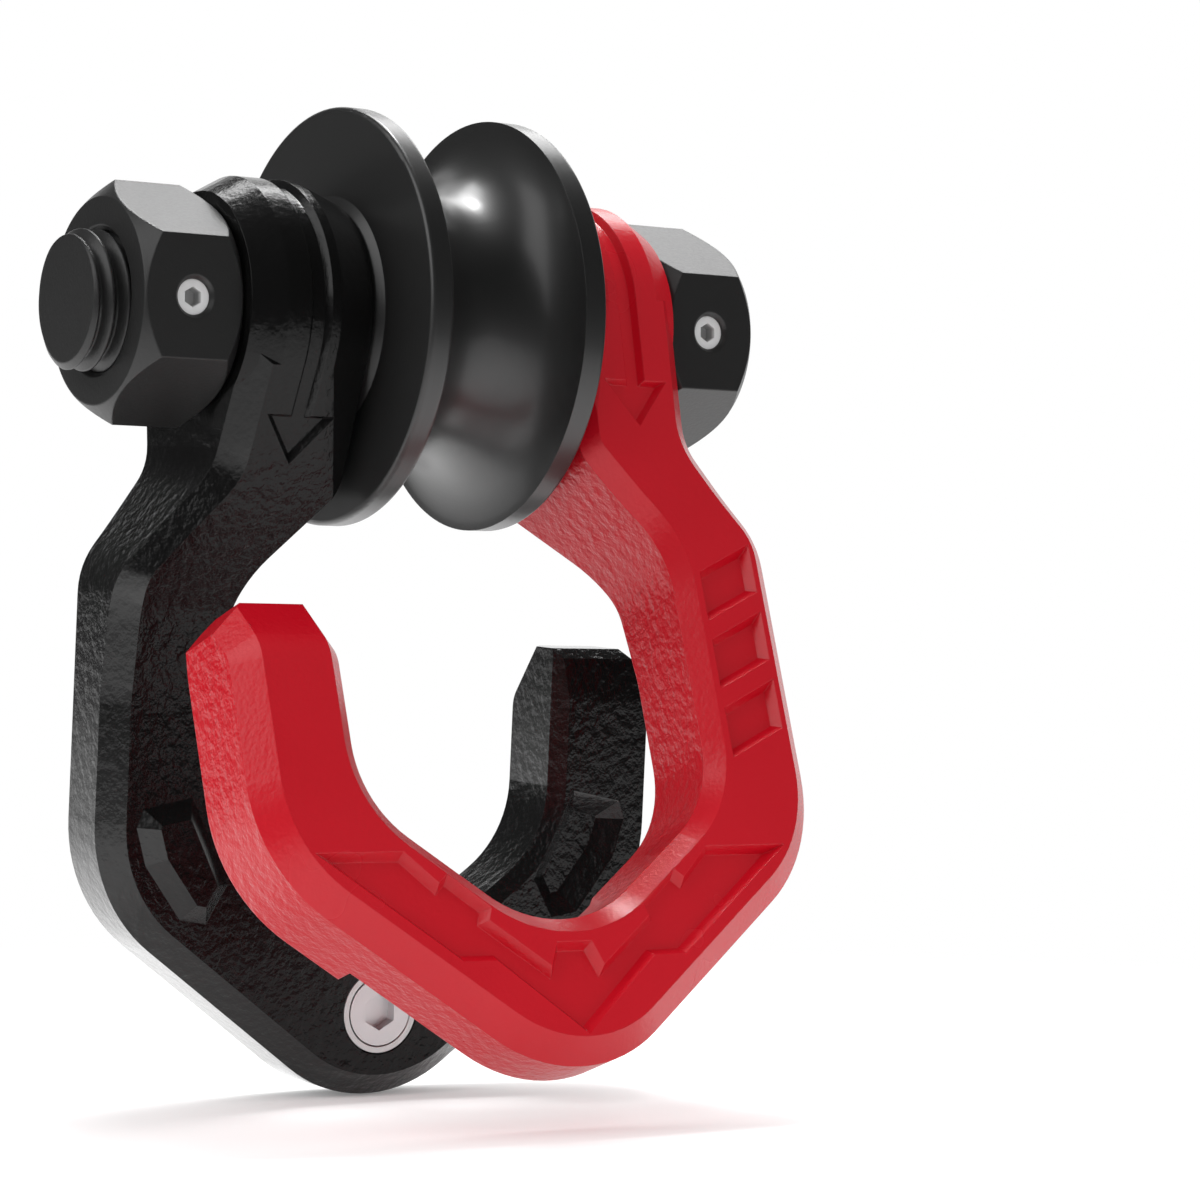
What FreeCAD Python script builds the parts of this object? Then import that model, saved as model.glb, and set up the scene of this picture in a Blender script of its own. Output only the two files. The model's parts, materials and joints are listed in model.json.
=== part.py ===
# Snatch block: a grooved pulley and two swinging hooks on one shaft, held by a nut at each end.
# Lengths are millimetres and angles are degrees.
# +X runs along the shaft from the black hook's eye to the red hook's eye, +Z is up,
# and the origin is the pulley's centre on the shaft's axis.
import FreeCAD, Part
import math
import os
import Sketcher
from FreeCAD import Vector

SIZES = {
    # Shaft, with a journal between two threaded ends
    "journal_radius": 14.0,
    "thread_radius": 12.0,
    "shoulder": 43.2,
    "thread_showing": 5.9,
    "thread_chamfer": 1.2,
    # Nuts and their grub screws
    "nut_flats": 36.0,
    "nut_length": 18.5,
    "nut_face_radius": 17.65,
    "thread_clearance": 0.05,
    "grub_radius": 3.0,
    "grub_length": 5.0,
    "grub_socket": 3.0,
    "grub_socket_depth": 2.5,
    "grub_countersink": 0.6,
    "nut_countersink": 0.8,
    # Pulley
    "bore_clearance": 0.05,
    "pulley_radius": 36.6,
    "pulley_half_width": 17.6,
    "rope_groove_radius": 13.2,
    "rim_round": 0.9,
    "boss_reach": 18.9,
    "boss_root_radius": 21.0,
    "boss_top_radius": 19.25,
    # Eye of each hook, turned about the shaft
    "eye_radius": 23.0,
    "eye_inner": 19.3,
    "eye_outer": 42.9,
    "eye_inner_bevel": 7.9,
    "eye_outer_bevel": 5.5,
    "eye_bevel_depth": 3.0,
    "neck_bevel_drop": 36.0,
    # Side view of each hook: how far its faces lie from the hinge plane, and where they slope
    "face": 18.5,
    "parting": 0.15,
    "front_slope_drop": 38.0,
    "front_crease": 60.0,
    "relief_top": 52.0,
    "relief_end": 67.0,
    "relief_step": 2.1,
    "relief_crease": 20.0,
    "tip_slope_angle": 36.0,
    "tip_slope_drop": 66.8,
    "tip_crease": 8.0,
    # Front view of each hook: across from the pulley's centre, and down from the shaft's axis
    "side_half_width": 56.0,
    "window_half_width": 35.0,
    "bow_drop": 138.3,
    "bow_radius": 26.5,
    "window_drop": 113.6,
    "window_radius": 22.9,
    "arm_angle": 36.87,
    "side_corner": 28.0,
    "window_corner": 20.0,
    "outer_flare_start": 27.5,
    "outer_flare_end": 45.1,
    "outer_flare_hollow": 11.0,
    "outer_flare_round": 14.0,
    "inner_flare_start": 30.1,
    "inner_flare_end": 48.0,
    "inner_flare_round": 8.0,
    "inner_flare_hollow": 20.0,
    "tip_half_width": 54.8,
    "tip_drop": 57.7,
    "tip_cut": 5.0,
    "outer_edge_chamfer": 4.1,
    "window_edge_chamfer": 2.9,
    "back_edge_chamfer": 4.0,
    "back_window_chamfer": 2.5,
    "back_window_angle": 45.0,
    "tip_top_chamfer": 1.8,
    # Groove that runs round the eye and ends in an arrowhead on both faces
    "mark_across": 31.0,
    "mark_width": 4.0,
    "mark_depth": 1.2,
    "mark_wall_angle": 35.0,
    "mark_tail": 2.0,
    "arrow_half_width": 6.6,
    "arrow_corner_drop": 17.7,
    "arrow_tip_drop": 26.0,
    # Recesses in the outward face
    "recess_depth": 1.8,
    "recess_wall_angle": 35.0,
    "pocket_inner": 39.2,
    "pocket_outer": 50.9,
    "pocket_top": 52.4,
    "pocket_rise": 5.45,
    "pocket_height": 9.06,
    "pocket_pitch": 12.54,
    "chevron_half_width": 46.6,
    "chevron_height": 31.6,
    "chevron_rise": 4.5,
    # Lug on the parting face, and the seat for the other hook's lug
    "lug_across": 41.0,
    "lug_drop": 95.0,
    "lug_half_width": 9.0,
    "lug_half_height": 11.0,
    "lug_height": 3.0,
    "lug_wall_angle": 45.0,
    "lug_clearance": 0.6,
    # Ring magnet and its countersunk screw
    "magnet_drop": 123.0,
    "magnet_radius": 7.4,
    "magnet_thickness": 3.2,
    "magnet_sink": 0.1,
    "magnet_gap": 0.2,
    "magnet_screw_head": 6.1,
    "magnet_screw_radius": 3.0,
    "magnet_screw_length": 12.0,
    "magnet_screw_point": 0.6,
    "magnet_screw_gap": 0.25,
    "screw_hole_spare": 0.5,
    "magnet_socket": 5.8,
    "magnet_socket_depth": 2.2,
    # How far each hook hangs out of the closed place
    "red_lean_angle": 18.4,
    "black_lean_angle": 3.64,
    # How far a cut reaches past what it cuts
    "spare": 5.0,
    "small_spare": 1.0,
}

POCKET_COUNT = 3

# The angles at which the faces leave the eye, so that they touch its round and end at the drops
# that the side view gives.
FRONT_SLOPE = (
    "(atan(Sizes.front_slope_drop / Sizes.face)"
    " - acos(Sizes.eye_radius / sqrt(Sizes.front_slope_drop ^ 2 + Sizes.face ^ 2)))")
RELIEF_OUT = "(Sizes.relief_step - Sizes.parting)"
BACK_SLOPE = (
    f"(asin(Sizes.eye_radius / sqrt(Sizes.relief_top ^ 2 + {RELIEF_OUT} ^ 2))"
    f" - atan({RELIEF_OUT} / Sizes.relief_top))")
RELIEF_RISE = "(Sizes.relief_step / (Sizes.relief_end - Sizes.relief_top))"
# The plane of the window's side, where the tip's arm begins.
TIP_SIDE = "placement(vector(0; 0; -Sizes.window_half_width); rotation(0; 0; 0))"

# Half of the chevron, as shares of its half width and its height, from its lowest point round
# to the middle of its upper edge.
CHEVRON = [
    (0.0, 0.0),
    (0.333, 0.408),
    (0.472, 0.411),
    (1.0, 1.0),
    (0.644, 1.0),
    (0.521, 0.83),
    (0.483, 0.877),
    (0.322, 0.69),
    (0.339, 0.623),
    (0.112, 0.37),
    (0.074, 0.497),
]

# The lug's outline, as shares of its half width and half height.
LUG = [
    (-0.17, -0.97),
    (0.87, -0.8),
    (1.0, -0.51),
    (0.78, 0.09),
    (0.0, 0.95),
    (-0.56, 1.03),
    (-1.0, 0.41),
]

doc = FreeCAD.newDocument("SnatchBlock")
sheet = doc.addObject("Spreadsheet::Sheet", "Sizes")
for row, (alias, number) in enumerate(SIZES.items(), start=1):
    sheet.set(f"A{row}", alias)
    sheet.set(f"B{row}", str(number))
    sheet.setAlias(f"B{row}", alias)
doc.recompute()


def new_body(label):
    body = doc.addObject("PartDesign::Body", label)
    body.Label = label
    return body


def origin_part(body, role):
    for part in body.Origin.OriginFeatures:
        if part.Role == role:
            return part
    raise ValueError(role)


def value(owner, text):
    return float(owner.evalExpression(text))


def new_sketch(body, name, role, offset=None):
    sketch = body.newObject("Sketcher::SketchObject", name)
    sketch.AttachmentSupport = [(origin_part(body, role), "")]
    sketch.MapMode = "FlatFace"
    if offset:
        sketch.setExpression("AttachmentOffset", offset)
    return sketch


def bind(sketch, kind, arguments, text):
    """Add a constraint to the sketch and bind its size to the sheet."""
    index = sketch.addConstraint(Sketcher.Constraint(kind, *arguments, value(sketch, text)))
    sketch.setExpression(f"Constraints[{index}]", text)


def add_outline(sketch, corners):
    """Add a closed outline. Each corner is x, y and, where it is rounded, its radius."""
    count = len(corners)
    places = [Vector(value(sketch, c[0]), value(sketch, c[1]), 0) for c in corners]
    radii = [value(sketch, c[2]) if len(c) > 2 else 0.0 for c in corners]
    arriving, leaving, turns = [], [], []
    for i, place in enumerate(places):
        before = (places[i - 1] - place).normalize()
        after = (places[(i + 1) % count] - place).normalize()
        half_angle = before.getAngle(after) / 2
        reach = radii[i] / math.tan(half_angle) if radii[i] else 0.0
        arriving.append(place + before * reach)
        leaving.append(place + after * reach)
        turns.append(after.cross(before).z)
    lines = []
    for i in range(count):
        lines.append(sketch.addGeometry(Part.LineSegment(leaving[i], arriving[(i + 1) % count])))
    for i, corner in enumerate(corners):
        line_in, line_out = lines[i - 1], lines[i]
        if not radii[i]:
            sketch.addConstraint(Sketcher.Constraint("Coincident", line_in, 2, line_out, 1))
            bind(sketch, "DistanceX", (-1, 1, line_out, 1), corner[0])
            bind(sketch, "DistanceY", (-1, 1, line_out, 1), corner[1])
            continue
        middle_way = (arriving[i] + leaving[i]) * 0.5 - places[i]
        far = math.hypot((arriving[i] - places[i]).Length, radii[i])
        centre = places[i] + middle_way.normalize() * far
        start, end = (arriving[i], leaving[i]) if turns[i] > 0 else (leaving[i], arriving[i])
        first = math.atan2(start.y - centre.y, start.x - centre.x)
        last = math.atan2(end.y - centre.y, end.x - centre.x)
        round_part = Part.Circle(centre, Vector(0, 0, 1), radii[i])
        arc = sketch.addGeometry(Part.ArcOfCircle(round_part, first, last))
        near, away = (1, 2) if turns[i] > 0 else (2, 1)
        sketch.addConstraint(Sketcher.Constraint("Tangent", line_in, 2, arc, near))
        sketch.addConstraint(Sketcher.Constraint("Tangent", line_out, 1, arc, away))
        bind(sketch, "Radius", (arc,), corner[2])
        point = sketch.addGeometry(Part.Point(places[i]), True)
        sketch.addConstraint(Sketcher.Constraint("PointOnObject", point, 1, line_in))
        sketch.addConstraint(Sketcher.Constraint("PointOnObject", point, 1, line_out))
        bind(sketch, "DistanceX", (-1, 1, point, 1), corner[0])
        bind(sketch, "DistanceY", (-1, 1, point, 1), corner[1])


def add_circle(sketch, across, up, radius):
    centre = Vector(value(sketch, across), value(sketch, up), 0)
    circle = sketch.addGeometry(Part.Circle(centre, Vector(0, 0, 1), value(sketch, radius)))
    bind(sketch, "DistanceX", (-1, 1, circle, 3), across)
    bind(sketch, "DistanceY", (-1, 1, circle, 3), up)
    bind(sketch, "Radius", (circle,), radius)


def add_hexagon(sketch, across, up, flats):
    """Add a hexagon with two of its corners straight above and below its centre."""
    corners = []
    for step in range(6):
        turn = 90 + 60 * step
        reach = f"{flats} / 2 / cos(30)"
        corners.append((f"{across} + {reach} * cos({turn})", f"{up} + {reach} * sin({turn})"))
    add_outline(sketch, corners)


def extrude(body, kind, sketch, length=None, symmetric=False, backwards=False, taper=None):
    """Pad or pocket a sketch. Without a length, a pocket goes through everything."""
    feature = body.newObject(f"PartDesign::{kind}", f"{sketch.Name}_{kind.lower()}")
    feature.Profile = sketch
    if length:
        feature.setExpression("Length", length)
    else:
        feature.Type = "ThroughAll"
    if symmetric:
        feature.SideType = "Symmetric"
    feature.Reversed = backwards
    if taper:
        feature.setExpression("TaperAngle", taper)
    sketch.Visibility = False
    doc.recompute()
    return feature


def turn(body, kind, sketch, axis, angle="360", symmetric=False):
    """Turn a sketch about an axis, adding with Revolution or cutting with Groove."""
    feature = body.newObject(f"PartDesign::{kind}", f"{sketch.Name}_{kind.lower()}")
    feature.Profile = sketch
    feature.ReferenceAxis = axis
    feature.setExpression("Angle", angle)
    feature.Midplane = symmetric
    sketch.Visibility = False
    doc.recompute()
    return feature


def shaft_line(body):
    return (origin_part(body, "X_Axis"), [""])


def dress(body, kind, points, size):
    """Fillet or chamfer the edges of the body that pass through the given points."""
    base = body.Tip
    names = []
    for point in points:
        vertex = Part.Vertex(point)
        gaps = [(edge.distToShape(vertex)[0], i) for i, edge in enumerate(base.Shape.Edges)]
        gap, nearest = min(gaps)
        if gap > 0.05:
            raise ValueError(f"{body.Label}: no edge at {point}")
        names.append(f"Edge{nearest + 1}")
    feature = body.newObject(f"PartDesign::{kind}", f"{body.Label}_{kind.lower()}")
    feature.Base = (base, names)
    feature.setExpression("Radius" if kind == "Fillet" else "Size", size)
    doc.recompute()
    return feature


def shaft():
    body = new_body("shaft")
    end = "Sizes.shoulder + Sizes.nut_length"
    left = f"-({end} + Sizes.thread_showing)"
    small = "Sizes.thread_radius - Sizes.thread_chamfer"
    section = new_sketch(body, "shaft_section", "XZ_Plane")
    add_outline(section, [
        (left, "0"),
        (f"{end}", "0"),
        (f"{end}", small),
        (f"{end} - Sizes.thread_chamfer", "Sizes.thread_radius"),
        ("Sizes.shoulder", "Sizes.thread_radius"),
        ("Sizes.shoulder", "Sizes.journal_radius"),
        ("-Sizes.shoulder", "Sizes.journal_radius"),
        ("-Sizes.shoulder", "Sizes.thread_radius"),
        (f"{left} + Sizes.thread_chamfer", "Sizes.thread_radius"),
        (left, small),
    ])
    turn(body, "Revolution", section, shaft_line(body))
    return body


def nut(label, placement):
    """A hexagon nut from its inner end at x = 0, with a threaded hole for the grub screw."""
    body = new_body(label)
    hexagon = new_sketch(body, f"{label}_hexagon", "YZ_Plane")
    add_hexagon(hexagon, "0", "0", "Sizes.nut_flats")
    extrude(body, "Pad", hexagon, "Sizes.nut_length")
    tall = "Sizes.nut_flats"
    cut = "(Sizes.nut_flats - Sizes.nut_face_radius)"
    ends = new_sketch(body, f"{label}_ends", "XZ_Plane")
    add_outline(ends, [("0", "Sizes.nut_face_radius"), (cut, tall), ("0", tall)])
    far = "Sizes.nut_length"
    add_outline(ends, [(far, "Sizes.nut_face_radius"), (far, tall), (f"{far} - {cut}", tall)])
    turn(body, "Groove", ends, shaft_line(body))
    bore = new_sketch(body, f"{label}_bore", "YZ_Plane")
    add_circle(bore, "0", "0", "Sizes.thread_radius + Sizes.thread_clearance")
    extrude(body, "Pocket", bore, symmetric=True)
    hole = new_sketch(body, f"{label}_grub_hole", "XZ_Plane")
    add_circle(hole, "Sizes.nut_length / 2", "0", "Sizes.grub_radius + Sizes.thread_clearance")
    extrude(body, "Pocket", hole, backwards=True)
    middle = value(body, "Sizes.nut_length / 2")
    edge = value(body, "Sizes.grub_radius + Sizes.thread_clearance")
    outside = value(body, "-Sizes.nut_flats / 2")
    dress(body, "Chamfer", [Vector(middle + edge, outside, 0)], "Sizes.grub_countersink")
    mouths = [Vector(x, value(body, "Sizes.thread_radius + Sizes.thread_clearance"), 0)
              for x in (0, value(body, "Sizes.nut_length"))]
    dress(body, "Chamfer", mouths, "Sizes.nut_countersink")
    body.setExpression("Placement", placement)
    return body


def grub_screw(label, side):
    """A socket screw seated on the shaft's thread, in the middle of its nut."""
    body = new_body(label)
    across = f"{side} * (Sizes.shoulder + Sizes.nut_length / 2)"
    seat = "placement(vector(0; 0; Sizes.thread_radius + Sizes.thread_clearance); rotation(0; 0; 0))"
    rod = new_sketch(body, f"{label}_rod", "XZ_Plane", seat)
    add_circle(rod, across, "0", "Sizes.grub_radius")
    extrude(body, "Pad", rod, "Sizes.grub_length")
    top = "Sizes.thread_radius + Sizes.thread_clearance + Sizes.grub_length"
    socket = new_sketch(
        body, f"{label}_socket", "XZ_Plane", f"placement(vector(0; 0; {top}); rotation(0; 0; 0))")
    add_hexagon(socket, across, "0", "Sizes.grub_socket")
    extrude(body, "Pocket", socket, "Sizes.grub_socket_depth")
    return body


def pulley():
    body = new_body("pulley")
    bore = "Sizes.journal_radius + Sizes.bore_clearance"
    section = new_sketch(body, "pulley_section", "XZ_Plane")
    add_outline(section, [
        ("-Sizes.boss_reach", bore),
        ("Sizes.boss_reach", bore),
        ("Sizes.boss_reach", "Sizes.boss_top_radius"),
        ("Sizes.pulley_half_width", "Sizes.boss_root_radius"),
        ("Sizes.pulley_half_width", "Sizes.pulley_radius"),
        ("-Sizes.pulley_half_width", "Sizes.pulley_radius"),
        ("-Sizes.pulley_half_width", "Sizes.boss_root_radius"),
        ("-Sizes.boss_reach", "Sizes.boss_top_radius"),
    ])
    turn(body, "Revolution", section, shaft_line(body))
    rope = new_sketch(body, "rope_groove", "XZ_Plane")
    add_circle(rope, "0", "Sizes.pulley_radius", "Sizes.rope_groove_radius")
    turn(body, "Groove", rope, shaft_line(body))
    rim = value(body, "Sizes.pulley_radius")
    edges = [value(body, "Sizes.pulley_half_width"), value(body, "Sizes.rope_groove_radius")]
    points = [Vector(sign * x, 0, rim) for x in edges for sign in (-1, 1)]
    dress(body, "Fillet", points, "Sizes.rim_round")
    return body


def hook_outline(body, name):
    """Front view of a hook: x is across and y is up. The eye's side is at +x, the tip's at -x."""
    rise = "tan(Sizes.arm_angle)"
    bulge = "(1 / cos(Sizes.arm_angle) - 1)"
    side = "Sizes.side_half_width"
    tip = "Sizes.tip_half_width"
    window = "Sizes.window_half_width"
    bow = f"-(Sizes.bow_drop + Sizes.bow_radius * {bulge})"
    arch = f"-(Sizes.window_drop + Sizes.window_radius * {bulge})"
    sketch = new_sketch(body, name, "XZ_Plane")
    add_outline(sketch, [
        ("Sizes.eye_inner", "0"),
        ("Sizes.eye_inner", "-Sizes.inner_flare_start", "Sizes.inner_flare_round"),
        (window, "-Sizes.inner_flare_end", "Sizes.inner_flare_hollow"),
        (window, f"{arch} + {window} * {rise}", "Sizes.window_corner"),
        ("0", arch, "Sizes.window_radius"),
        (f"-{window}", f"{arch} + {window} * {rise}", "Sizes.window_corner"),
        (f"-{window}", "-Sizes.tip_drop"),
        (f"-{tip} + Sizes.tip_cut", "-Sizes.tip_drop"),
        (f"-{tip}", "-Sizes.tip_drop - Sizes.tip_cut"),
        (f"-{tip}", f"{bow} + {tip} * {rise}", "Sizes.side_corner"),
        ("0", bow, "Sizes.bow_radius"),
        (side, f"{bow} + {side} * {rise}", "Sizes.side_corner"),
        (side, "-Sizes.outer_flare_end", "Sizes.outer_flare_round"),
        ("Sizes.eye_outer", "-Sizes.outer_flare_start", "Sizes.outer_flare_hollow"),
        ("Sizes.eye_outer", "0"),
    ])
    return sketch


def hook_faces(body, label):
    """Cut the outward face, and the parting face as far as the tip's arm."""
    clear = "(Sizes.eye_radius + Sizes.spare)"
    below = "-(Sizes.bow_drop + 2 * Sizes.spare)"
    front = new_sketch(body, f"{label}_front_side", "YZ_Plane")
    add_outline(front, [
        ("-Sizes.journal_radius", "0"),
        (f"-Sizes.eye_radius * cos({FRONT_SLOPE})", f"-Sizes.eye_radius * sin({FRONT_SLOPE})"),
        ("-Sizes.face", "-Sizes.front_slope_drop"),
        ("-Sizes.face", below),
        (f"-{clear}", below),
        (f"-{clear}", "0"),
    ])
    extrude(body, "Pocket", front, symmetric=True)
    back = new_sketch(body, f"{label}_back_side", "YZ_Plane", TIP_SIDE)
    add_outline(back, [
        ("Sizes.journal_radius", "0"),
        (f"Sizes.eye_radius * cos({BACK_SLOPE})", f"-Sizes.eye_radius * sin({BACK_SLOPE})"),
        (RELIEF_OUT, "-Sizes.relief_top"),
        ("-Sizes.parting", "-Sizes.relief_end"),
        ("-Sizes.parting", below),
        (clear, below),
        (clear, "0"),
    ])
    extrude(body, "Pocket", back, backwards=True)


def hook_tip(body, label):
    """Slope the tip's outward face, and relieve its parting face where the other arm is thick."""
    top = "-(Sizes.tip_drop - Sizes.spare)"
    below = "-(Sizes.bow_drop + 2 * Sizes.spare)"
    clear = "(Sizes.eye_radius + Sizes.spare)"
    slope = new_sketch(body, f"{label}_tip_slope", "YZ_Plane")
    add_outline(slope, [
        ("-Sizes.face", "-Sizes.tip_slope_drop"),
        (f"-Sizes.face + (Sizes.tip_slope_drop + {top}) * tan(Sizes.tip_slope_angle)", top),
        ("-Sizes.face - Sizes.spare", top),
        ("-Sizes.face - Sizes.spare", "-Sizes.tip_slope_drop"),
    ])
    extrude(body, "Pocket", slope)
    back = new_sketch(body, f"{label}_tip_back", "YZ_Plane", TIP_SIDE)
    add_outline(back, [
        ("-Sizes.parting", below),
        ("-Sizes.parting", "-Sizes.relief_end"),
        (f"-Sizes.parting - (Sizes.relief_end + {top}) * {RELIEF_RISE}", top),
        (clear, top),
        (clear, below),
    ])
    extrude(body, "Pocket", back)


def hook_arm_edges(body):
    """Ease the creases across the arm, and bevel the parting face's outer edge up to the tip."""
    side = value(body, "Sizes.side_half_width")
    parting = value(body, "-Sizes.parting")
    arm = value(body, "(Sizes.side_half_width + Sizes.window_half_width) / 2")
    neck = value(body, "(Sizes.eye_outer + Sizes.eye_inner) / 2 + Sizes.spare")
    front = Vector(neck, value(body, "-Sizes.face"), value(body, "-Sizes.front_slope_drop"))
    relief_top = Vector(arm, value(body, RELIEF_OUT), value(body, "-Sizes.relief_top"))
    relief_end = Vector(arm, parting, value(body, "-Sizes.relief_end"))
    dress(body, "Fillet", [front], "Sizes.front_crease")
    dress(body, "Fillet", [relief_top, relief_end], "Sizes.relief_crease")
    dress(body, "Chamfer", [Vector(side, parting, straight_level(body))], "Sizes.back_edge_chamfer")


def hook_tip_edges(body):
    """Ease the tip's creases, bevel the other edges, and break the edge at the tip's top."""
    side = value(body, "Sizes.side_half_width")
    window = value(body, "Sizes.window_half_width")
    face, parting = value(body, "-Sizes.face"), value(body, "-Sizes.parting")
    arm = (side + window) / 2
    level = straight_level(body)
    slope = Vector(-arm, face, value(body, "-Sizes.tip_slope_drop"))
    dress(body, "Fillet", [slope], "Sizes.tip_crease")
    relief = Vector(-arm, parting, value(body, "-Sizes.relief_end"))
    dress(body, "Fillet", [relief], "Sizes.relief_crease")
    dress(body, "Chamfer", [Vector(side, face, level)], "Sizes.outer_edge_chamfer")
    dress(body, "Chamfer", [Vector(-window, face, level)], "Sizes.window_edge_chamfer")
    top = value(body, "-Sizes.tip_drop")
    inward = value(body, f"-Sizes.parting - (Sizes.relief_end - Sizes.tip_drop) * {RELIEF_RISE}")
    dress(body, "Chamfer", [Vector(-arm, inward, top)], "Sizes.tip_top_chamfer")


def window_bevel(body, label):
    """Bevel the window's edge on the parting side, from the tip's top to past the bow's middle."""
    bevel = "Sizes.back_window_chamfer"
    seat = "placement(vector(0; 0; Sizes.parting); rotation(0; 0; 0))"
    rise = "tan(Sizes.arm_angle)"
    bulge = "(1 / cos(Sizes.arm_angle) - 1)"
    arch = f"-(Sizes.window_drop + Sizes.window_radius * {bulge} + {bevel} / cos(Sizes.arm_angle))"
    wide = f"(Sizes.window_half_width + {bevel})"
    end = "Sizes.window_half_width / 2"
    top = "-(Sizes.tip_drop - Sizes.spare)"
    sketch = new_sketch(body, f"{label}_window_bevel", "XZ_Plane", seat)
    add_outline(sketch, [
        (f"-{wide}", top),
        (f"-{wide}", f"{arch} + {wide} * {rise}", f"Sizes.window_corner + {bevel}"),
        ("0", arch, f"Sizes.window_radius + {bevel}"),
        (end, f"{arch} + {end} * {rise}"),
        (end, top),
    ])
    extrude(body, "Pocket", sketch, bevel, backwards=True, taper="-Sizes.back_window_angle")


def straight_level(body):
    """A height at which both arms are straight, just below the creases."""
    return value(body, "-(Sizes.relief_end + Sizes.spare)")


def face_seat(lean):
    """The plane that touches the eye's round at an angle, with its middle at the touching line."""
    return (f"placement(vector(0; -Sizes.eye_radius * sin({lean}); Sizes.eye_radius * cos({lean}));"
            f" rotation(vector(1; 0; 0); {lean}))")


def neck_bevel(body, name, lean, slope, down):
    """Carry the eye's wide inner bevel down the neck, where it narrows away to the edge."""
    sketch = new_sketch(body, name, "XZ_Plane", face_seat(lean))
    wide = "Sizes.eye_inner_bevel"
    inner, outer = f"Sizes.eye_inner - 2 * {wide}", f"Sizes.eye_inner + {wide}"
    end = f"{down} * (Sizes.neck_bevel_drop - Sizes.eye_radius * sin({slope})) / cos({slope})"
    above = f"{-down} * 2 * {wide}"
    add_outline(sketch, [(inner, above), (outer, above), (outer, "0"), (inner, f"3 * {end}")])
    steep = f"-atan({wide} / Sizes.eye_bevel_depth)"
    extrude(body, "Pocket", sketch, "Sizes.eye_bevel_depth", taper=steep)


def hook_eye(body, label):
    """Turn the eye, bevelled on both sides, and cut the groove that runs over it."""
    section = new_sketch(body, f"{label}_eye_section", "XZ_Plane")
    low = "Sizes.eye_radius - Sizes.eye_bevel_depth"
    add_outline(section, [
        ("Sizes.eye_inner", "Sizes.journal_radius / 2"),
        ("Sizes.eye_outer", "Sizes.journal_radius / 2"),
        ("Sizes.eye_outer", low),
        ("Sizes.eye_outer - Sizes.eye_outer_bevel", "Sizes.eye_radius"),
        ("Sizes.eye_inner + Sizes.eye_inner_bevel", "Sizes.eye_radius"),
        ("Sizes.eye_inner", low),
    ])
    turn(body, "Revolution", section, shaft_line(body))
    middle = f"({FRONT_SLOPE} - {BACK_SLOPE}) / 2"
    tilt = f"placement(vector(0; 0; 0); rotation(vector(1; 0; 0); {middle}))"
    notch = new_sketch(body, f"{label}_mark_section", "XZ_Plane", tilt)
    floor = "Sizes.mark_width / 2 - Sizes.mark_depth * tan(Sizes.mark_wall_angle)"
    mouth = "Sizes.mark_width / 2 + Sizes.small_spare * tan(Sizes.mark_wall_angle)"
    bottom = "Sizes.eye_radius - Sizes.mark_depth"
    over = "Sizes.eye_radius + Sizes.small_spare"
    add_outline(notch, [
        (f"Sizes.mark_across - ({floor})", bottom),
        (f"Sizes.mark_across + ({floor})", bottom),
        (f"Sizes.mark_across + ({mouth})", over),
        (f"Sizes.mark_across - ({mouth})", over),
    ])
    wrap = f"180 deg + {FRONT_SLOPE} + {BACK_SLOPE}"
    turn(body, "Groove", notch, shaft_line(body), wrap, symmetric=True)


def hook_arrow(body, name, lean, slope, down):
    """Cut the groove's straight end and its arrowhead into a face that slopes off the eye."""
    sketch = new_sketch(body, name, "XZ_Plane", face_seat(lean))
    start = f"{-down} * Sizes.mark_tail"
    corner = f"{down} * (Sizes.arrow_corner_drop - Sizes.eye_radius * sin({slope})) / cos({slope})"
    tip = f"{down} * (Sizes.arrow_tip_drop - Sizes.eye_radius * sin({slope})) / cos({slope})"
    add_outline(sketch, [
        ("Sizes.mark_across - Sizes.mark_width / 2", start),
        ("Sizes.mark_across - Sizes.mark_width / 2", corner),
        ("Sizes.mark_across - Sizes.arrow_half_width", corner),
        ("Sizes.mark_across", tip),
        ("Sizes.mark_across + Sizes.arrow_half_width", corner),
        ("Sizes.mark_across + Sizes.mark_width / 2", corner),
        ("Sizes.mark_across + Sizes.mark_width / 2", start),
    ])
    extrude(body, "Pocket", sketch, "Sizes.mark_depth", taper="-Sizes.mark_wall_angle")


def hook_recesses(body, label):
    """Cut the slanted pockets of the eye's arm and the chevron of the bow."""
    seat = "placement(vector(0; 0; Sizes.face); rotation(0; 0; 0))"
    for step in range(POCKET_COUNT):
        top = f"-(Sizes.pocket_top + {step} * Sizes.pocket_pitch)"
        sketch = new_sketch(body, f"{label}_pocket_{step + 1}", "XZ_Plane", seat)
        add_outline(sketch, [
            ("Sizes.pocket_inner", top),
            ("Sizes.pocket_inner", f"{top} - Sizes.pocket_height"),
            ("Sizes.pocket_outer", f"{top} - Sizes.pocket_height + Sizes.pocket_rise"),
            ("Sizes.pocket_outer", f"{top} + Sizes.pocket_rise"),
        ])
        extrude(body, "Pocket", sketch, "Sizes.recess_depth", taper="-Sizes.recess_wall_angle")
    sketch = new_sketch(body, f"{label}_chevron", "XZ_Plane", seat)
    right = [(across, up) for across, up in CHEVRON]
    left = [(-across, up) for across, up in reversed(CHEVRON[1:])]
    base = "-Sizes.bow_drop + Sizes.chevron_rise"
    add_outline(sketch, [
        (f"{across} * Sizes.chevron_half_width", f"{base} + {up} * Sizes.chevron_height")
        for across, up in right + left
    ])
    extrude(body, "Pocket", sketch, "Sizes.recess_depth", taper="-Sizes.recess_wall_angle")


def lug_corners(side, grow):
    return [
        (f"{side} * (Sizes.lug_across + {across} * (Sizes.lug_half_width + {grow}))",
         f"-(Sizes.lug_drop + {down} * (Sizes.lug_half_height + {grow}))")
        for across, down in LUG
    ]


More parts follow.
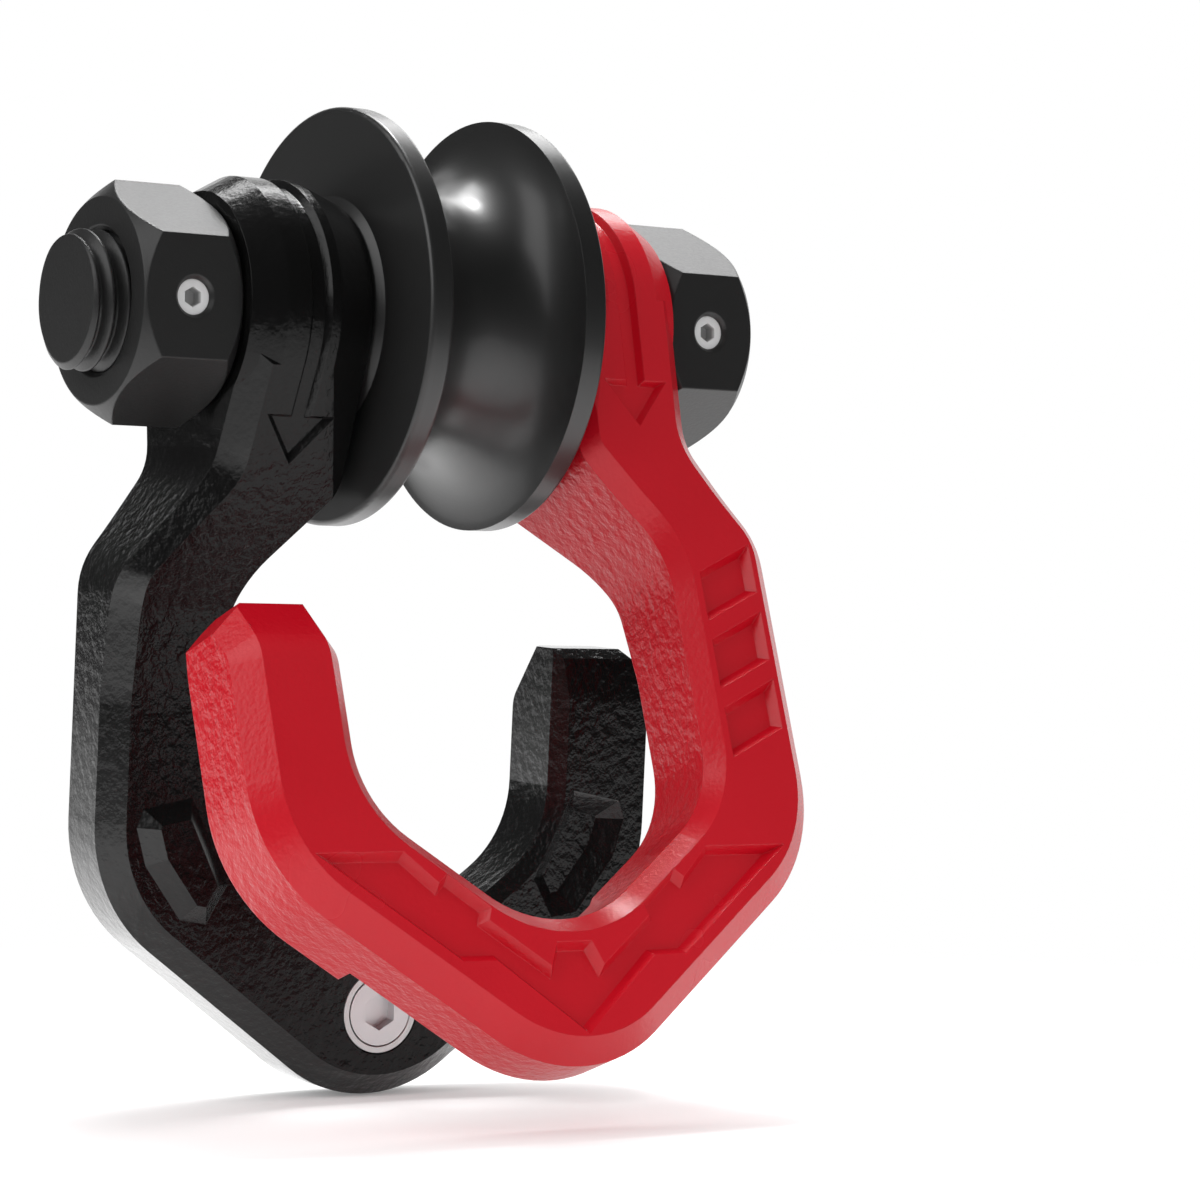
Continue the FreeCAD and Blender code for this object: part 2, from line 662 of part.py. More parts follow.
def hook_parting_face(body, label):
    """Add the lug, and cut the other lug's seat and the seats of the magnet and its screw."""
    seat = "placement(vector(0; 0; Sizes.parting); rotation(0; 0; 0))"
    slope = "-Sizes.lug_wall_angle"
    lug = new_sketch(body, f"{label}_lug", "XZ_Plane", seat)
    add_outline(lug, lug_corners(1, "0"))
    extrude(body, "Pad", lug, "Sizes.lug_height", backwards=True, taper=slope)
    hollow = new_sketch(body, f"{label}_lug_seat", "XZ_Plane", seat)
    add_outline(hollow, lug_corners(-1, "Sizes.lug_clearance"))
    extrude(body, "Pocket", hollow, "Sizes.lug_height + Sizes.lug_clearance", backwards=True,
            taper=slope)
    magnet = new_sketch(body, f"{label}_magnet_seat", "XZ_Plane", seat)
    add_circle(magnet, "0", "-Sizes.magnet_drop", "Sizes.magnet_radius + Sizes.magnet_gap")
    extrude(body, "Pocket", magnet, "Sizes.magnet_sink + Sizes.magnet_thickness", backwards=True)
    screw = new_sketch(body, f"{label}_screw_hole", "XZ_Plane", seat)
    add_circle(screw, "0", "-Sizes.magnet_drop", "Sizes.magnet_screw_radius + Sizes.thread_clearance")
    depth = "Sizes.magnet_sink + Sizes.magnet_screw_length + Sizes.screw_hole_spare"
    extrude(body, "Pocket", screw, depth, backwards=True)


def hook(label, placement):
    body = new_body(label)
    outline = hook_outline(body, f"{label}_outline")
    extrude(body, "Pad", outline, "2 * (Sizes.eye_radius + Sizes.small_spare)", symmetric=True)
    hook_faces(body, label)
    hook_arm_edges(body)
    hook_tip(body, label)
    hook_tip_edges(body)
    window_bevel(body, label)
    back_lean = f"(180 deg - {BACK_SLOPE})"
    neck_bevel(body, f"{label}_front_neck", FRONT_SLOPE, FRONT_SLOPE, -1)
    neck_bevel(body, f"{label}_back_neck", back_lean, BACK_SLOPE, 1)
    hook_eye(body, label)
    hook_arrow(body, f"{label}_front_arrow", FRONT_SLOPE, FRONT_SLOPE, -1)
    hook_arrow(body, f"{label}_back_arrow", back_lean, BACK_SLOPE, 1)
    hook_recesses(body, label)
    hook_parting_face(body, label)
    bore = new_sketch(body, f"{label}_bore", "YZ_Plane")
    add_circle(bore, "0", "0", "Sizes.journal_radius + Sizes.bore_clearance")
    extrude(body, "Pocket", bore, symmetric=True)
    body.setExpression("Placement", placement)
    return body


def magnet_sketch(body, name):
    """A section through the magnet's centre line: x is towards the parting plane, y is outward."""
    seat = "placement(vector(0; -Sizes.magnet_drop; 0); rotation(0; 0; 0))"
    return new_sketch(body, name, "YZ_Plane", seat)


def magnet(label, placement):
    body = new_body(label)
    section = magnet_sketch(body, f"{label}_section")
    front = "-(Sizes.parting + Sizes.magnet_sink)"
    back = f"{front} - Sizes.magnet_thickness"
    mouth = "Sizes.magnet_screw_head + Sizes.magnet_screw_gap"
    hole = "Sizes.magnet_screw_radius + Sizes.magnet_screw_gap"
    add_outline(section, [
        (front, mouth),
        (f"{front} - (({mouth}) - ({hole}))", hole),
        (back, hole),
        (back, "Sizes.magnet_radius"),
        (front, "Sizes.magnet_radius"),
    ])
    turn(body, "Revolution", section, (section, ["H_Axis"]))
    body.setExpression("Placement", placement)
    return body


def magnet_screw(label, placement):
    body = new_body(label)
    section = magnet_sketch(body, f"{label}_section")
    front = "-(Sizes.parting + Sizes.magnet_sink)"
    end = f"{front} - Sizes.magnet_screw_length"
    add_outline(section, [
        (front, "0"),
        (front, "Sizes.magnet_screw_head"),
        (f"{front} - (Sizes.magnet_screw_head - Sizes.magnet_screw_radius)",
         "Sizes.magnet_screw_radius"),
        (f"{end} + Sizes.magnet_screw_point", "Sizes.magnet_screw_radius"),
        (end, "Sizes.magnet_screw_radius - Sizes.magnet_screw_point"),
        (end, "0"),
    ])
    turn(body, "Revolution", section, (section, ["H_Axis"]))
    mouth = "placement(vector(0; 0; Sizes.parting + Sizes.magnet_sink); rotation(0; 0; 0))"
    socket = new_sketch(body, f"{label}_socket", "XZ_Plane", mouth)
    add_hexagon(socket, "0", "-Sizes.magnet_drop", "Sizes.magnet_socket")
    extrude(body, "Pocket", socket, "Sizes.magnet_socket_depth", backwards=True)
    body.setExpression("Placement", placement)
    return body


RIGHT_END = "placement(vector(Sizes.shoulder; 0; 0); rotation(0; 0; 0))"
LEFT_END = "placement(vector(-Sizes.shoulder; 0; 0); rotation(vector(0; 1; 0); 180))"
RED_PLACE = "placement(vector(0; 0; 0); rotation(vector(1; 0; 0); -Sizes.red_lean_angle))"
BLACK_PLACE = "placement(vector(0; 0; 0); rotation(180; 0; -Sizes.black_lean_angle))"

pieces = [
    shaft(),
    nut("left_nut", LEFT_END),
    nut("right_nut", RIGHT_END),
    grub_screw("left_grub_screw", -1),
    grub_screw("right_grub_screw", 1),
    pulley(),
    hook("red_hook", RED_PLACE),
    magnet("red_magnet", RED_PLACE),
    magnet_screw("red_magnet_screw", RED_PLACE),
    hook("black_hook", BLACK_PLACE),
    magnet("black_magnet", BLACK_PLACE),
    magnet_screw("black_magnet_screw", BLACK_PLACE),
]
doc.recompute()

for item in doc.Objects:
    if "Invalid" in item.State or "Error" in item.State:
        raise RuntimeError(f"{item.Label} failed: {item.State}")
for piece in pieces:
    if piece.Shape.isNull() or not piece.Shape.isValid() or len(piece.Shape.Solids) != 1:
        raise RuntimeError(f"{piece.Label} is not one valid solid")

os.makedirs("parts", exist_ok=True)
for piece in pieces:
    piece.Shape.exportStep(f"parts/{piece.Label}.step")
    box = piece.Shape.BoundBox
    print(f"{piece.Label}: {piece.Shape.Volume / 1000:.2f} cm3, x {box.XMin:.1f} to {box.XMax:.1f},"
          f" y {box.YMin:.1f} to {box.YMax:.1f}, z {box.ZMin:.1f} to {box.ZMax:.1f}")
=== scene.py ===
# %% [markdown]
# # A snatch block with two hinged hooks
# A snatch block is a pulley that opens, so that a rope can be laid in it anywhere along its length.
# Here a red and a black hook hang on the pulley's own shaft and meet below it. The CAD model gives
# every piece its size and place, and this lesson gives each one its surface: powder coat over rough
# forgings, turned and anodised aluminium, blackened steel and plain stainless screws.

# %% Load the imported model
import json
import math
import bpy
import numpy as np
from mathutils import Matrix, Vector


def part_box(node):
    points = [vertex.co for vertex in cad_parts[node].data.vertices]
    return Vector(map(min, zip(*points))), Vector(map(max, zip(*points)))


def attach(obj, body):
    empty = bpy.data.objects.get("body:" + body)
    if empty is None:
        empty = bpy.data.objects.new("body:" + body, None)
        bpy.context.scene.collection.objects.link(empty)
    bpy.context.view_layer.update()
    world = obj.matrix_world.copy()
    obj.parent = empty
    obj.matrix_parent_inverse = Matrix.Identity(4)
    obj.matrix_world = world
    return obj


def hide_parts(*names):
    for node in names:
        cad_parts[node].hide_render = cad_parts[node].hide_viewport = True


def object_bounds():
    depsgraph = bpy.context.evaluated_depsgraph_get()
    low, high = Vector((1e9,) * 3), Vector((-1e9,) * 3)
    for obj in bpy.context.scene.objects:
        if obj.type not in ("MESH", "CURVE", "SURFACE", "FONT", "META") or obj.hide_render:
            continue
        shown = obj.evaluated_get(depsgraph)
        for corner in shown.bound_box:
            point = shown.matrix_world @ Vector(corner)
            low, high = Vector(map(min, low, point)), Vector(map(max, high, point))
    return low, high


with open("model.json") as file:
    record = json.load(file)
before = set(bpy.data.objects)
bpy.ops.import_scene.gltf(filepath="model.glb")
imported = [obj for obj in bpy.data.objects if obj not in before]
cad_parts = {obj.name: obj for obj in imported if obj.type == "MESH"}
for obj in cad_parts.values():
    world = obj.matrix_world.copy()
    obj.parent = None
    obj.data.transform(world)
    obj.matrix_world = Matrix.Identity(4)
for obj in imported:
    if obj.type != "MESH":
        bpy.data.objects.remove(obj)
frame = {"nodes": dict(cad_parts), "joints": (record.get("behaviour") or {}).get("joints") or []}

MM = 0.001
nodes = frame["nodes"]
cad_box = [list(corner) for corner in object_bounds()]

# %% [markdown]
# ## What the frame tells
# Nothing here is measured twice. A hook's lean comes from its joint, whose lowest value is the
# closed place. The shaft's journal ends where the right nut begins.

# %% Read the leans and the shaft's sizes
joints = {joint["name"]: joint for joint in frame["joints"]}
red_lean = math.radians(-joints["red_hook_swing"]["range_deg"][0])
black_lean = math.radians(-joints["black_hook_swing"]["range_deg"][0])
red_outward = Vector((0, -math.cos(red_lean), math.sin(red_lean)))
black_outward = Vector((0, math.cos(black_lean), math.sin(black_lean)))
shaft_low, shaft_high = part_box("shaft")
left_nut_low, left_nut_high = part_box("left_nut")
right_nut_low, right_nut_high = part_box("right_nut")
journal_radius = shaft_high.z
shoulder = right_nut_low.x
print("leans", round(math.degrees(red_lean), 2), round(math.degrees(black_lean), 2), "degrees")
print("journal from", round(left_nut_high.x / MM, 2), "to", round(shoulder / MM, 2), "mm")
print("nuts end at", round(left_nut_low.x / MM, 2), "and", round(right_nut_high.x / MM, 2), "mm")

# %% [markdown]
# ## Meshes from grids
# A turned or threaded piece is one function of two numbers: how far along the axis, and how far
# round. The function runs on whole numpy arrays at once, and this helper joins the grid's
# neighbours into faces, with the last column meeting the first.

# %% Make a mesh from a grid of points that closes on itself
def grid_mesh(name, points):
    """points is rows x columns x 3. Each row is a closed ring, and both ends are capped."""
    rows, columns, _ = points.shape
    index = np.arange(rows * columns).reshape(rows, columns)
    right = np.roll(index, -1, axis=1)
    quads = np.stack([index[:-1], index[1:], right[1:], right[:-1]], axis=-1).reshape(-1, 4)
    first_middle, last_middle = rows * columns, rows * columns + 1
    corners = np.vstack([points.reshape(-1, 3), points[0].mean(0), points[-1].mean(0)])
    caps = [(first_middle, a, b) for a, b in zip(index[0], right[0])]
    caps += [(last_middle, b, a) for a, b in zip(index[-1], right[-1])]
    mesh = bpy.data.meshes.new(name)
    mesh.from_pydata(corners.tolist(), [], quads.tolist() + [tuple(map(int, c)) for c in caps])
    mesh.validate()
    piece = bpy.data.objects.new(name, mesh)
    bpy.context.scene.collection.objects.link(piece)
    return piece


def shade_by_angle(piece, degrees):
    """Smooth the four-sided faces, with a crisp edge where they turn by more than this angle."""
    sides = np.empty(len(piece.data.polygons), np.int32)
    piece.data.polygons.foreach_get("loop_total", sides)
    piece.data.set_sharp_from_angle(angle=math.radians(degrees))
    piece.data.polygons.foreach_set("use_smooth", sides == 4)
    piece.data.update()


# %% [markdown]
# ## The shaft and its thread
# A metric thread is a 60 degree ridge that climbs one pitch in each turn. The radius at a point is
# the crest less a triangle wave, whose phase is the distance along the shaft in pitches less the
# share of a turn, and whose tips are cut flat. Where the end's chamfer or the plain journal gives
# another radius, the smaller or the larger one wins.

# %% Work out the shaft's surface
PITCH = 3.0 * MM
CREST_RADIUS = 12.0 * MM
THREAD_DEPTH = 1.84 * MM
CREST_FLAT = 0.125
ROOT_FLAT = 0.25
END_CHAMFER = 1.2 * MM
THREAD_SHOWN = 9.0 * MM
THREAD_ROWS = 110
SHAFT_COLUMNS = 224
SHEER = 1e-6
CRISP_ANGLE = 35


def thread_radius(along, share):
    """Radius of an M24 thread: crest, flank, root and flank in turn, as a function of the phase."""
    phase = (along / PITCH - share) % 1.0
    rise = np.abs(phase - 0.5) * 2.0
    flank = (rise - ROOT_FLAT / 2) / (1.0 - CREST_FLAT - ROOT_FLAT / 2)
    return CREST_RADIUS - THREAD_DEPTH * (1.0 - np.clip(flank, 0.0, 1.0))


def shaft_points():
    """The shaft's rings from left to right: a thread, the plain journal and the other thread."""
    left, right = shaft_low.x, shaft_high.x
    left_thread = np.linspace(left, left + THREAD_SHOWN, THREAD_ROWS)
    right_thread = np.linspace(right - THREAD_SHOWN, right, THREAD_ROWS)
    steps = np.array([-shoulder, -shoulder + SHEER, shoulder - SHEER, shoulder])
    along = np.concatenate([left_thread, steps, right_thread])[:, None]
    share = np.arange(SHAFT_COLUMNS)[None, :] / SHAFT_COLUMNS
    radius = thread_radius(along, share)
    inset = np.minimum(along - left, right - along)
    radius = np.minimum(radius, CREST_RADIUS - END_CHAMFER + inset)
    plain = (along > left + THREAD_SHOWN) & (along < right - THREAD_SHOWN)
    radius = np.where(plain, CREST_RADIUS, radius)
    radius = np.where(np.abs(along) < shoulder, journal_radius, radius)
    angle = share * math.tau
    return np.stack([along + 0 * share, radius * np.cos(angle), radius * np.sin(angle)], axis=-1)


shaft_piece = grid_mesh("threaded_shaft", shaft_points())
shade_by_angle(shaft_piece, CRISP_ANGLE)
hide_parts("shaft")
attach(shaft_piece, "shaft")
print("shaft faces", len(shaft_piece.data.polygons))

# %% [markdown]
# ## Shader maths
# A finish is mostly arithmetic on a few patterns. The first class lets the arithmetic be written as
# Python: adding or multiplying two patterns puts the Math nodes in place. The second holds a
# material, and makes the patterns that all the finishes share.

# %% Wrap sockets so that they can be added and multiplied
class Pattern:
    """A number or a vector that varies over a surface: one socket of a material's nodes."""

    def __init__(self, finish, socket):
        self.finish = finish
        self.socket = socket

    def math(self, operation, *numbers):
        settings = {"operation": operation}
        return self.finish.node("ShaderNodeMath", settings, dict(enumerate(numbers)))

    def __add__(self, other):
        return self.math("ADD", self, other)

    __radd__ = __add__

    def __rsub__(self, other):
        return self.math("SUBTRACT", other, self)

    def __mul__(self, other):
        return self.math("MULTIPLY", self, other)

    __rmul__ = __mul__

    def __abs__(self):
        return self.math("ABSOLUTE", self)


class Finish:
    """One material: a Principled shader, and the nodes that feed it."""

    def __init__(self, name, **settings):
        self.material = bpy.data.materials.new(name)
        self.material.use_nodes = True
        self.tree = self.material.node_tree
        self.surface = self.tree.nodes["Principled BSDF"]
        self.feed(**settings)

    def node(self, kind, settings=None, inputs=None, output=0):
        """Add a node. Its settings are set first, and then the values or links of its sockets."""
        node = self.tree.nodes.new(kind)
        for key, setting in (settings or {}).items():
            setattr(node, key, setting)
        for key, value in (inputs or {}).items():
            self.connect(node.inputs[key], value)
        return Pattern(self, node.outputs[output])

    def connect(self, socket, value):
        if isinstance(value, Pattern):
            self.tree.links.new(value.socket, socket)
        else:
            socket.default_value = value

    def feed(self, **values):
        """Set the Principled shader's own sockets, such as base_color or coat_weight."""
        names = {socket.name.lower().replace(" ", "_"): socket for socket in self.surface.inputs}
        for key, value in values.items():
            self.connect(names[key], value)

    def spot(self):
        """Object coordinates in metres."""
        return self.node("ShaderNodeTexCoord", output="Object")

    def coordinate(self, axis):
        """One of the object coordinates, X, Y or Z."""
        return self.node("ShaderNodeSeparateXYZ", {}, {0: self.spot()}, axis)

    def vector(self, operation, first, second=None, output="Value"):
        """Vector maths, such as a dot product or a length."""
        inputs = {0: first} if second is None else {0: first, 1: second}
        return self.node("ShaderNodeVectorMath", {"operation": operation}, inputs, output)

    def from_shaft(self):
        """Distance from the shaft's axis, which is the X axis."""
        return self.vector("LENGTH", self.vector("MULTIPLY", self.spot(), (0, 1, 1), "Vector"))

    def place(self, scale=(1, 1, 1), turn=(0, 0, 0)):
        """Object coordinates, stretched and turned."""
        inputs = {"Vector": self.spot(), "Scale": scale, "Rotation": turn}
        return self.node("ShaderNodeMapping", {}, inputs)

    def noise(self, grain, place=None, detail=3.0, roughness=0.5):
        """Cloudy noise between 0 and 1 with patches about grain metres across."""
        inputs = {"Vector": place or self.place(), "Scale": 1 / grain, "Detail": detail,
                  "Roughness": roughness}
        return self.node("ShaderNodeTexNoise", {}, inputs)

    def step(self, value, low, high):
        """0 below low, 1 above high, and smooth between."""
        settings = {"interpolation_type": "SMOOTHSTEP"}
        inputs = {"Value": value, "From Min": low, "From Max": high}
        return self.node("ShaderNodeMapRange", settings, inputs)

    def between(self, share, low, high):
        """low where the share is 0, high where it is 1, and in proportion between."""
        return self.node("ShaderNodeMapRange", {}, {"Value": share, "To Min": low, "To Max": high})

    def blend(self, share, first, second):
        """Mix two colours."""
        return self.node("ShaderNodeMix", {"data_type": "RGBA"}, {0: share, 6: first, 7: second}, 2)

    def relief(self, height, depth, edge):
        """Bump of the given depth. edge is the radius to which crisp edges are eased."""
        eased = self.node("ShaderNodeBevel", {"samples": 6}, {"Radius": edge})
        inputs = {"Height": height, "Distance": depth, "Normal": eased}
        self.feed(normal=self.node("ShaderNodeBump", {}, inputs))


def dress(finish, *pieces):
    """Give pieces or CAD nodes this finish in place of their own."""
    for piece in pieces:
        piece.data.materials.clear()
        piece.data.materials.append(finish.material)
    print(finish.material.name, "on", [piece.name for piece in pieces])


# %% [markdown]
# ## Powder coat over a forging
# The hooks are drop forged and then powder coated. Their outward faces come off the press smooth,
# while the sides and the parting faces keep a lumpy, cast-like grain under the coat. A mask tells
# the two apart: the surface's own direction, in the hook's coordinates, compared with the outward
# direction. The eye was turned after forging, so the lumps and the gloss fade near the shaft.

# %% Mix the paints of the two hooks
FACE_TURN = (0.25, 0.50)
FLANK_TURN = (0.55, 0.90)
EYE_EDGE, ARM_EDGE = 24.0 * MM, 38.0 * MM
LUMP_GRAIN, PEEL_GRAIN, CLOUD_GRAIN = 1.9 * MM, 0.8 * MM, 22 * MM
LUMP_STRETCH, LUMP_TURN = (1.0, 1.0, 0.85), (0.6, 0.5, 0.0)
FACE_LUMPS = 0.08
EYE_LUMPS = 0.30
EYE_GLOSS = 0.25
PEEL_HEIGHT = 0.10


def powder_coat(name, colour, deep, outward, roughness, shine, gloss, depth):
    """deep is the colour where the coat is thick, and gloss the weight of the clear top coat."""
    finish = Finish(name, coat_roughness=0.16, specular_ior_level=shine)
    facing = finish.node("ShaderNodeTexCoord", output="Normal")
    along = finish.vector("DOT_PRODUCT", facing, outward)
    side = 1.0 - finish.step(along, *FACE_TURN)
    flank = 1.0 - finish.step(abs(along), *FLANK_TURN)
    arm = finish.step(finish.from_shaft(), EYE_EDGE, ARM_EDGE)
    lumps = finish.noise(LUMP_GRAIN, finish.place(LUMP_STRETCH, LUMP_TURN), 3.0, 0.55)
    peel = finish.noise(PEEL_GRAIN, detail=1.0)
    lumpy = finish.between(side * finish.between(arm, EYE_LUMPS, 1.0), FACE_LUMPS, 1.0)
    finish.relief(lumps * lumpy + peel * PEEL_HEIGHT, depth, edge=0.25 * MM)
    clouds = finish.noise(CLOUD_GRAIN, detail=2.0)
    finish.feed(
        base_color=finish.blend(clouds, deep, colour),
        roughness=roughness + 0.06 * (side * lumps) + 0.05 * clouds,
        coat_weight=gloss * (flank * finish.between(arm, EYE_GLOSS, 1.0)))
    return finish


red_coat = powder_coat(
    "red_powder_coat", colour=(0.60, 0.0035, 0.0145, 1), deep=(0.54, 0.0025, 0.0115, 1),
    outward=red_outward, roughness=0.24, shine=0.42, gloss=0.06, depth=0.48 * MM)
black_coat = powder_coat(
    "black_powder_coat", colour=(0.006, 0.006, 0.006, 1), deep=(0.003, 0.003, 0.003, 1),
    outward=black_outward, roughness=0.17, shine=0.22, gloss=1.0, depth=0.45 * MM)
dress(red_coat, nodes["red_hook"])
dress(black_coat, nodes["black_hook"])

# %% [markdown]
# ## Turned and anodised aluminium
# The pulley is turned from bar, so the tool leaves rings a few tenths of a millimetre apart, too
# fine to see one by one but enough to draw the light out across them. Their height is noise read
# from two numbers only, the distance along the axis and the distance from it.

# %% Mix the pulley's finish
RING_GRAIN, RING_DEPTH = 0.35 * MM, 0.012 * MM


def turned(name, **settings):
    finish = Finish(name, **settings)
    reach_and_along = {0: finish.from_shaft(), 1: finish.coordinate("X")}
    rings = finish.node("ShaderNodeCombineXYZ", {}, reach_and_along)
    finish.relief(finish.noise(RING_GRAIN, rings, 2.0), RING_DEPTH, edge=0.3 * MM)
    return finish


anodised = turned(
    "black_anodised_aluminium", base_color=(0.009, 0.009, 0.009, 1), roughness=0.44,
    specular_ior_level=0.6, coat_weight=0.55, coat_roughness=0.24)
dress(anodised, nodes["pulley"])

# %% [markdown]
# ## Blackened and bright steel
# The nuts and the shaft have a thin black coat with a fine grain. The small screws and the magnets'
# plates are bright metal. A screw's socket gets less light than its rim, so the set screws get a
# painted shade that darkens their colour with the depth below their faces.

# %% Mix the steels
# Painted shade: deep in their sockets, the set screws' colour darkens to this grey.
SOCKET_PAINTED_SHADE = (0.45, 0.45, 0.45, 1)
SHADE_STARTS, SHADE_ENDS = 0.2 * MM, 1.2 * MM


def blackened(name):
    finish = Finish(name, base_color=(0.018, 0.018, 0.018, 1), specular_ior_level=0.5)
    grain = finish.noise(0.6 * MM, detail=3.0)
    finish.relief(grain, 0.03 * MM, edge=0.45 * MM)
    finish.feed(roughness=0.30 + 0.12 * grain)
    return finish


def bright(name, colour, roughness, metallic=1.0, mouth=None):
    """mouth is the Y of the face that a socket opens in, and the socket goes in along Y. Below the
    mouth the colour gets a painted shade.
    """
    finish = Finish(name, base_color=colour, metallic=metallic)
    grain = finish.noise(0.4 * MM, detail=2.0)
    finish.relief(grain, 0.008 * MM, edge=0.15 * MM)
    finish.feed(roughness=roughness + 0.1 * grain)
    if mouth is not None:
        # Painted shade in the socket, which grows with the depth below the mouth.
        painted_shade_share = finish.step(finish.coordinate("Y"), mouth + SHADE_STARTS, mouth + SHADE_ENDS)
        finish.feed(base_color=finish.blend(painted_shade_share, colour, SOCKET_PAINTED_SHADE))
    return finish


set_screw_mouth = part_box("left_grub_screw")[0].y
black_steel = blackened("blackened_steel")
stainless = bright("stainless_steel", (0.72, 0.72, 0.73, 1), 0.42)
zinc = bright("satin_zinc_plate", (0.90, 0.90, 0.90, 1), 0.34, 0.22, set_screw_mouth)
nickel = bright("nickel_plate", (0.60, 0.60, 0.60, 1), 0.34)
dress(black_steel, nodes["left_nut"], nodes["right_nut"], shaft_piece)
dress(zinc, nodes["left_grub_screw"], nodes["right_grub_screw"])
dress(stainless, nodes["red_magnet_screw"], nodes["black_magnet_screw"])
dress(nickel, nodes["red_magnet"], nodes["black_magnet"])

# %% [markdown]
# ## The sky
# The block stands on a white table before a white sweep, in a room that is dark but for its lamps.
# So where polished faces mirror the sky it is white towards the sweep and dark elsewhere. The
# camera sees it white all round, and what it sheds on the pieces is a little less than white.

# %% Light the sky
WHITE = (1, 1, 1, 1)
DARK_ROOM = (0.05, 0.05, 0.05, 1)
SWEEP_SIDE = (0.555, 0.832, 0.0)
SWEEP_EDGE = (0.74, 0.88)
SKY_FILL = 0.78
RAYS_THAT_LOOK = ("Is Camera Ray", "Is Glossy Ray", "Is Transmission Ray")


def by_ray(finish, lit, seen):
    """seen for rays that come from the camera or a mirror, and lit for those that shed light."""
    looks = [finish.node("ShaderNodeLightPath", output=kind) for kind in RAYS_THAT_LOOK]
    return finish.between(sum(looks[1:], looks[0]), lit, seen)


class Sky(Finish):
    """The world's material, which is fed as a piece's finish is."""

    def __init__(self, world):
        world.use_nodes = True
        self.tree = world.node_tree
        self.surface = self.tree.nodes["Background"]


world = bpy.data.worlds.new("studio")
bpy.context.scene.world = world
sky = Sky(world)
direction = sky.node("ShaderNodeTexCoord", output="Generated")
ahead = sky.vector("DOT_PRODUCT", direction, SWEEP_SIDE)
room = sky.blend(sky.step(ahead, *SWEEP_EDGE), DARK_ROOM, WHITE)
mirrored = sky.node("ShaderNodeLightPath", output="Is Glossy Ray")
sky.feed(color=sky.blend(mirrored, WHITE, room), strength=by_ray(sky, SKY_FILL, 1.0))
print("sky nodes", len(sky.tree.nodes))

# %% [markdown]
# ## The table
# The table is lit near the block, where the shadow falls, and gets its white from its own glow
# further out. It ends a little to the front and the right, so that the black paint there mirrors
# the dark room.

# %% Lay the table
LIT_TO, GLOWS_FROM = 0.16, 0.42
TABLE_FRONT, TABLE_BACK, TABLE_LEFT, TABLE_RIGHT = -0.45, 6.0, -3.0, 0.5
TABLE_GAP = 0.3 * MM
TABLE_WHITE = (0.9, 0.9, 0.9, 1)
NEAR_GLOW = 0.18
ahead_way, side_way = np.array(SWEEP_SIDE), np.array([SWEEP_SIDE[1], -SWEEP_SIDE[0], 0.0])
table_height = cad_box[0][2] - TABLE_GAP
table_corners = [
    (along * ahead_way + aside * side_way + (0, 0, table_height)).tolist()
    for along, aside in ((TABLE_FRONT, TABLE_LEFT), (TABLE_FRONT, TABLE_RIGHT),
                         (TABLE_BACK, TABLE_RIGHT), (TABLE_BACK, TABLE_LEFT))]
floor_mesh = bpy.data.meshes.new("floor")
floor_mesh.from_pydata(table_corners, [], [(0, 1, 2, 3)])
floor = bpy.data.objects.new("floor", floor_mesh)
bpy.context.scene.collection.objects.link(floor)
table = Finish("white_table", roughness=0.9, specular_ior_level=0.0)
away = table.step(table.vector("LENGTH", table.spot()), LIT_TO, GLOWS_FROM)
glow = table.between(away, NEAR_GLOW, 1.0)
table.feed(base_color=table.blend(away, TABLE_WHITE, (0.0, 0.0, 0.0, 1)))
table.feed(emission_color=WHITE, emission_strength=glow * by_ray(table, 0.0, 1.0))
dress(table, floor)

# %% [markdown]
# ## The lamps
# Two soft boxes behind and above draw the glow along the groove, a small one gives its bright spot,
# and a wide, weak one lights the left.

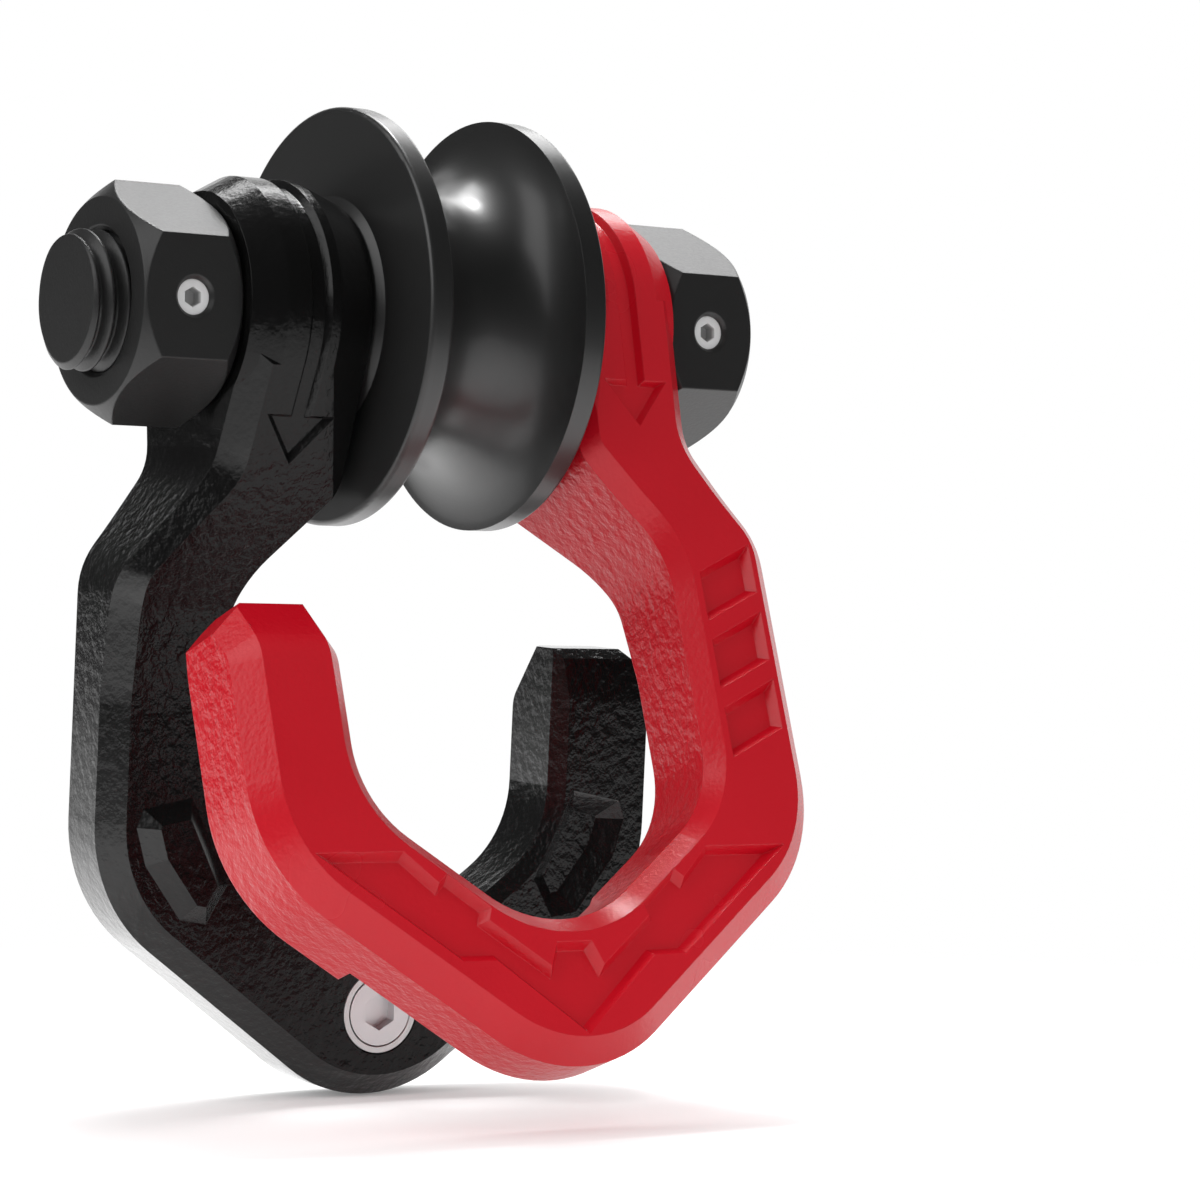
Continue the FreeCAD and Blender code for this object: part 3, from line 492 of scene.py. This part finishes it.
# %% Hang the lamps
def softbox(name, azimuth, elevation, distance, width, height, watts):
    """An area lamp that faces the block. Azimuth is 0 along +Y and 90 along +X."""
    around, over = math.radians(azimuth), math.radians(elevation)
    toward = Vector((math.sin(around) * math.cos(over), math.cos(around) * math.cos(over),
                     math.sin(over)))
    lamp = bpy.data.lights.new(name, "AREA")
    lamp.shape = "RECTANGLE"
    lamp.size = width
    lamp.size_y = height
    lamp.energy = watts
    box = bpy.data.objects.new(name, lamp)
    turn = toward.to_track_quat("Z", "Y").to_matrix().to_4x4()
    box.matrix_world = Matrix.Translation(toward * distance) @ turn
    bpy.context.scene.collection.objects.link(box)
    print(name, "from", azimuth, "round and", elevation, "up,", watts, "W")


softbox("back_low", 50, 43, distance=1.3, width=0.42, height=0.48, watts=2.4)
softbox("back_high", 24, 61, distance=1.3, width=0.62, height=0.42, watts=5.6)
softbox("key", 32, 72, distance=1.2, width=0.18, height=0.18, watts=5.5)
softbox("left_fill", -90, 30, distance=0.75, width=0.7, height=0.6, watts=2.4)

# %% [markdown]
# ## The camera
# The picture is taken with a long lens from the left of the block's front, just under the
# shaft's height. The lens is given by its distance in pixels, for a picture 1200 pixels wide.

# %% Set the camera up
IMAGE_SIZE = 1200
FOCAL_PIXELS = 3906.7
YAW, PITCH_UP, ROLL = 0.5890, 0.0190, 0.0100
CAMERA_PLACE = Vector((-356.2, -594.5, -62.1)) * MM
forward = Vector((math.sin(YAW) * math.cos(PITCH_UP), math.cos(YAW) * math.cos(PITCH_UP),
                  math.sin(PITCH_UP)))
level_right = forward.cross(Vector((0, 0, 1))).normalized()
level_up = level_right.cross(forward)
right = level_right * math.cos(ROLL) + level_up * math.sin(ROLL)
up = level_up * math.cos(ROLL) - level_right * math.sin(ROLL)
lens = bpy.data.cameras.new("camera")
lens.sensor_width = 36.0
lens.lens = FOCAL_PIXELS / IMAGE_SIZE * lens.sensor_width
lens.clip_start = 0.01
camera = bpy.data.objects.new("camera", lens)
camera_turn = Matrix((right, up, -forward)).transposed().to_4x4()
camera.matrix_world = Matrix.Translation(CAMERA_PLACE) @ camera_turn
bpy.context.scene.collection.objects.link(camera)
bpy.context.scene.camera = camera
bpy.context.scene.view_settings.view_transform = "Standard"
print("lens", round(lens.lens, 1), "mm")
